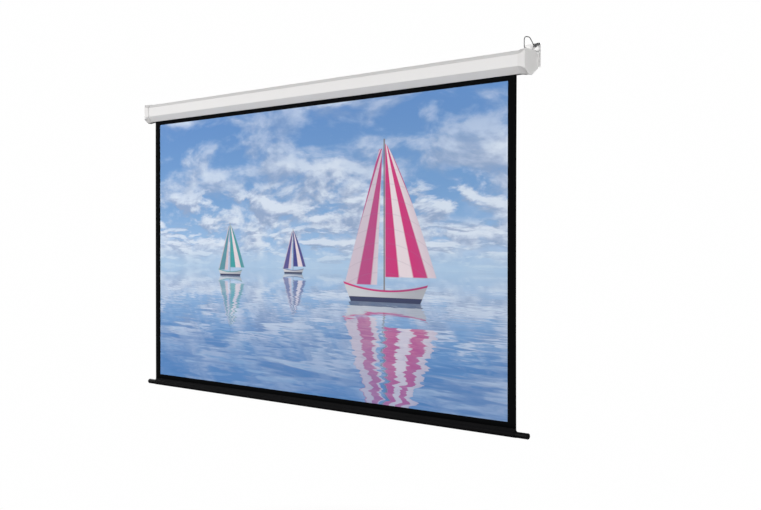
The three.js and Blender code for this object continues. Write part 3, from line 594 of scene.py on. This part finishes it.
# Black coated cloth: crossed threads under a matt skin, with a little dust.
def blackCloth(s):
    material, flow, output = newMaterial("blackBackedCloth")
    place = objectPlace(flow)
    x, y, z = partsOf(place)
    turn = 2 * math.pi / s["thread"]
    warp = x.math("SINE", x * turn)
    weft = x.math("SINE", (z + y) * turn)
    threads = abs(warp * weft)
    patch = noise(place, s["patch"], 3.0)
    dust = ramped(noise(place, s["dust"], 4.0, 0.7), 0.62, 0.75)
    colour = mixed(dust * 0.08, mixed(patch, *s["black"]), s["dustColour"])
    rough = 0.70 + threads * 0.12
    surfaced(flow, output, threads + patch * 2.0, 0.03 * mm, colour=colour, rough=rough, specular=0.07)
    return material


# A strip of cloth of even thickness. Its path runs in Y and Z; the outer side lies half a thickness
# to the right of the path, the inner side half a thickness to its left, and every station in X
# carries the same ring, moved to the right by lift(x, run).
def clothStrip(name, path, thickness, xs, finishes, lift=None):
    run = np.concatenate([[0], np.cumsum(np.hypot(*np.diff(path, axis=0).T))])
    along = np.gradient(path, axis=0)
    along /= np.hypot(*along.T)[:, None]
    normal = np.stack([along[:, 1], -along[:, 0]], 1)
    x, s = np.meshgrid(xs, run, indexing="ij")
    moved = lift(x, s) if lift else np.zeros_like(x)
    sides = []
    for sign in (1, -1):
        yz = path[None] + normal[None] * (moved + sign * thickness / 2)[..., None]
        sides.append(np.concatenate([x[..., None], yz], 2))
    ring = np.concatenate([sides[0], sides[1][:, ::-1]], 1)
    count, around = ring.shape[:2]
    n = len(path)
    index = np.arange(count * around).reshape(count, around)
    after = np.roll(index, -1, axis=1)
    body = np.stack([index[:-1], after[:-1], after[1:], index[1:]], 2).reshape(-1, 4)
    outer, inner = index[:, :n], index[:, :n - 1:-1]
    nearEnd = np.stack([outer[0, :-1], inner[0, :-1], inner[0, 1:], outer[0, 1:]], 1)
    farEnd = np.stack([outer[-1, :-1], outer[-1, 1:], inner[-1, 1:], inner[-1, :-1]], 1)
    faces = np.concatenate([body, nearEnd, farEnd])
    points = ring.reshape(-1, 3)
    a, b, c, d = (points[faces[:, i]] for i in range(4))
    volume = (np.cross(a, b) * c).sum() + (np.cross(a, c) * d).sum()
    if volume < 0:  # this is six times what the faces enclose, positive when they point outwards
        faces = faces[:, ::-1]
    mesh = bpy.data.meshes.new(name)
    mesh.from_pydata(points.tolist(), [], faces.tolist())
    share = np.stack([(x - xs[0]) / (xs[-1] - xs[0]), s / run[-1]], 2)
    share = np.concatenate([share, share[:, ::-1]], 1).reshape(-1, 2)
    layer = mesh.uv_layers.new(name="flat")
    layer.data.foreach_set("uv", share[faces.ravel()].astype(np.float32).ravel())
    for finish in finishes:
        mesh.materials.append(finish)
    isBody = np.arange(len(faces)) < len(body)
    isOuter = np.tile(np.arange(around) < n - 1, count - 1)
    slots = np.full(len(faces), len(finishes) - 1, dtype=np.int32)
    slots[: len(body)][isOuter] = 0
    mesh.polygons.foreach_set("material_index", slots)
    mesh.polygons.foreach_set("use_smooth", isBody)
    mesh.update()
    return linked(name, mesh), run[-1]


caseLow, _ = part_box("case_shell")
screenLow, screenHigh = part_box("screen_fabric")
sleeveLow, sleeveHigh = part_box("hem_sleeve")
barLow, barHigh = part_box("bar_tube")
rollerLow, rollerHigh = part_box("roller_tube")
clothY = (screenLow.y + screenHigh.y) / 2
clothWidth = screenHigh.x - screenLow.x
clothLength = screenHigh.z - sleeveHigh.z  # down to the sleeve's upper edge
hiddenLength = screenHigh.z - caseLow.z  # inside the case
barZ = (barLow.z + barHigh.z) / 2
rollerY, rollerZ = (rollerLow.y + rollerHigh.y) / 2, (rollerLow.z + rollerHigh.z) / 2


# Broad upright waves, a sum of sines across the cloth, and side edges that lean forward, less with
# the distance from the edge. Both fade at the case and at the bar like half a sine.
def clothLift(s):
    start = hiddenLength + s["calm"]

    def lift(x, run):
        below = np.clip((run - start) / (clothLength - start), 0, 1)
        hang = np.sin(np.pi * below) ** 0.8
        waves = sum(
            share * np.sin(2 * np.pi * x / length + phase + drift * run)
            for share, length, phase, drift in s["waves"]
        )
        edge = np.exp(-(clothWidth / 2 - np.abs(x)) / s["curlWidth"])
        return hang * (s["billow"] * waves + s["curl"] * edge)

    return lift


# The cloth hangs straight down from the roller's front to the sleeve.
def makeSheet(s, p, black):
    zs = np.linspace(screenHigh.z, sleeveHigh.z, s["rows"])
    path = np.stack([np.full_like(zs, clothY), zs], 1)
    xs = np.linspace(screenLow.x, screenHigh.x, s["stations"])
    front = screenCloth(s, p, clothWidth, clothLength, hiddenLength + p["topBorder"])
    return clothStrip("screenSheet", path, s["thickness"], xs, (front, black), clothLift(s))


# The sleeve's path: down the seam, out to the circle round the bar on a line that touches it, round
# below the bar, and the same back up. Puckers, sines along the bar, stand just below the seam.
def makeSleeve(s, thickness, black):
    radius = barZ - sleeveLow.z - thickness / 2
    touch = math.acos(radius / s["fork"])
    turn = np.linspace(np.pi / 2 + touch, 5 * np.pi / 2 - touch, s["roundSteps"])
    belly = np.stack([clothY + radius * np.cos(turn), barZ + radius * np.sin(turn)], 1)
    top, fork = sleeveHigh.z, barZ + s["fork"]
    seam = np.linspace(top, fork, s["seamSteps"])
    front = np.stack([np.full_like(seam, clothY - s["seam"]), seam], 1)
    rear = np.stack([np.full_like(seam, clothY + s["seam"]), seam], 1)[::-1]
    path = np.concatenate([front, belly, rear])
    length = np.hypot(*np.diff(path, axis=0).T).sum()
    xs = np.linspace(sleeveLow.x, sleeveHigh.x, s["stations"])

    def pucker(x, run):
        fromEdge = np.minimum(run, length - run)
        away = fromEdge - (top - fork) * s["puckerPlace"]
        fade = np.exp(-((away / s["puckerReach"]) ** 2))
        ripple = sum(
            share * np.sin(2 * np.pi * x / long + phase) for share, long, phase in s["puckers"]
        )
        return s["pucker"] * fade * ripple

    return clothStrip("hemSheet", path, thickness, xs, (black,), pucker)


# The spare turns: a spiral round the tube from where the cloth leaves it, going up, over and in.
def makeSpare(s, thickness, black):
    low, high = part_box("wound_fabric")
    outer = rollerZ - low.z - thickness / 2
    turn = np.linspace(0, 2 * np.pi * s["turns"], int(s["stepsPerTurn"] * s["turns"]))
    radius = outer - s["pitch"] * turn / (2 * np.pi)
    path = np.stack([rollerY - radius * np.cos(turn), rollerZ + radius * np.sin(turn)], 1)
    xs = np.linspace(low.x, high.x, s["stations"])
    return clothStrip("spareSheet", path, thickness, xs, (black,))


def makeCloths(s, p):
    pull = next(joint for joint in frame["joints"] if joint["name"] == "screen_pull")
    travel = pull["range_m"][1]
    black = blackCloth(backSettings)
    sheet, _ = makeSheet(s, p, black)
    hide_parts("screen_fabric")
    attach(sheet, "root")
    keep = 1 - travel / clothLength
    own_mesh(sheet)
    sleeve, girth = makeSleeve(sleeveSettings, s["thickness"], black)
    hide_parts("hem_sleeve")
    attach(sleeve, "weight_bar")
    spare, wound = makeSpare(spareSettings, s["thickness"], black)
    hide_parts("wound_fabric")
    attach(spare, "roller")
    print(f"cloth {clothWidth:.4f} x {clothLength:.4f}, sleeve {girth:.4f}, spare {wound:.4f}")


makeCloths(clothSettings, picture)


print("stage: finishes")
coatSettings = {"lumps": 1.1 * mm, "depth": 0.012 * mm, "shade": 350 * mm, "marks": 50 * mm}
mouldSettings = {"grain": 0.5 * mm, "depth": 0.010 * mm, "patch": 60 * mm}
steelSettings = {"lines": 1.2 * mm, "depth": 0.004 * mm, "patch": 30 * mm, "spots": 4 * mm}
zincSettings = {"crystal": 9 * mm, "depth": 0.004 * mm, "grain": 1.5 * mm}


# Powder coat: a satin skin with the shallow lumps of its melt, and faint dust and handling marks.
def powderCoat(name, colour, rough=0.42, specular=0.45, s=coatSettings):
    material, flow, output = newMaterial(name)
    place = objectPlace(flow)
    shade = noise(place, s["shade"], 3.0, 0.55)
    marks = ramped(noise(stretched(place, 1, 3, 6), s["marks"], 5.0, 0.65), 0.60, 0.78)
    skin = mixed(marks * 0.10, mixed(shade, dimmed(colour, 0.955), colour), dimmed(colour, 0.82))
    roughness = rough + marks * 0.10 + (shade - 0.5) * 0.08
    lumps = noise(place, s["lumps"], 1.0, 0.4)
    surfaced(flow, output, lumps, s["depth"], colour=skin, rough=roughness, specular=specular)
    return material


# Moulded plastic: fine spark-eroded grain with slow changes of gloss.
def moulded(name, colour, rough=0.5, specular=0.45, s=mouldSettings):
    material, flow, output = newMaterial(name)
    place = objectPlace(flow)
    fine = noise(place, s["grain"], 2.0, 0.6)
    patch = noise(place, s["patch"], 3.0)
    pits = ramped(fine, 0.62, 0.75) * 0.06
    skin = mixed(pits, mixed(patch, dimmed(colour, 0.95), colour), dimmed(colour, 0.8))
    roughness = rough + (patch - 0.5) * 0.10 + fine * 0.05
    surfaced(flow, output, fine, s["depth"], colour=skin, rough=roughness, specular=specular)
    return material


# Bare or plated steel: fine scores, drawn out along the direction where lines is small, cloudy
# gloss and small dull spots.
def steel(name, colour, rough, lines=(1, 1, 1), spots=0.25, s=steelSettings):
    material, flow, output = newMaterial(name)
    place = objectPlace(flow)
    scored = noise(stretched(place, *lines), s["lines"], 3.0, 0.6)
    patch = noise(place, s["patch"], 4.0, 0.6)
    spot = ramped(noise(place, s["spots"], 4.0, 0.65), 0.60, 0.72)
    skin = mixed(spot * spots, mixed(patch, dimmed(colour, 0.86), colour), dimmed(colour, 0.6))
    roughness = rough + (patch - 0.5) * 0.16 + scored * 0.10 + spot * 0.12
    surfaced(flow, output, scored, s["depth"], colour=skin, rough=roughness, metal=1.0)
    return material


# Galvanised sheet: cells of zinc crystal, each with its own tone and gloss.
def galvanised(name, colour, s=zincSettings):
    material, flow, output = newMaterial(name)
    place = objectPlace(flow)
    inputs = {"Vector": place, "Scale": 1 / s["crystal"]}
    cells = flow.node("ShaderNodeTexVoronoi", None, inputs, out="Color")
    tone = flow.node("ShaderNodeRGBToBW", None, {"Color": cells})
    fine = noise(place, s["grain"], 3.0)
    skin = mixed(tone, dimmed(colour, 0.74), colour)
    rough = 0.34 + tone * 0.16 + fine * 0.06
    surfaced(flow, output, fine + tone, s["depth"], colour=skin, rough=rough, metal=1.0)
    return material


def finishNodes():
    finishes = {
        "white_case_enamel": powderCoat("whiteCaseEnamel", (0.80, 0.80, 0.795), 0.47, specular=0.32),
        "white_end_cap": moulded("whiteEndCap", (0.76, 0.757, 0.75), 0.48),
        "wall_plate_enamel": powderCoat("wallPlateEnamel", (0.84, 0.84, 0.835), 0.46),
        "zinc_fastener": steel("zincFastener", (0.60, 0.61, 0.62), 0.50),
        "bail_wire": steel("bailWire", (0.26, 0.262, 0.265), 0.48, spots=0.12),
        # The clip's near-black colour is partly painted shade: it is dark plastic, and its colour also stands in
        # for the shade in the dark wedge between the bail's rear foot and the top of the plate.
        "dark_clip": moulded("darkClipWithPaintedShade", (0.125, 0.127, 0.13), 0.45),
        "zinc_steel": steel("zincSteel", (0.62, 0.63, 0.65), 0.36, (0.1, 1, 1)),
        "roller_steel": galvanised("rollerSteel", (0.60, 0.61, 0.62)),
        "ratchet_steel": steel("ratchetSteel", (0.50, 0.49, 0.47), 0.45),
        "spring_steel": steel("springSteel", (0.20, 0.205, 0.21), 0.30),
        "nylon_moulding": moulded("nylonMoulding", (0.70, 0.68, 0.62), 0.40),
        "dark_bush": moulded("darkBush", (0.05, 0.05, 0.055), 0.35),
        "black_bar_enamel": powderCoat("blackBarEnamel", (0.0035, 0.0035, 0.004), 0.55, 0.08),
        "black_bar_plug": moulded("blackBarPlug", (0.004, 0.004, 0.0045), 0.58, 0.09),
    }
    for part in frame["record"]["subparts"]:
        finish = finishes.get(part["material_slot"])  # the cloth's two slots have their own pieces
        if finish:
            for slot in frame["nodes"][part["node"]].material_slots:
                slot.material = finish


finishNodes()


print("stage: done")
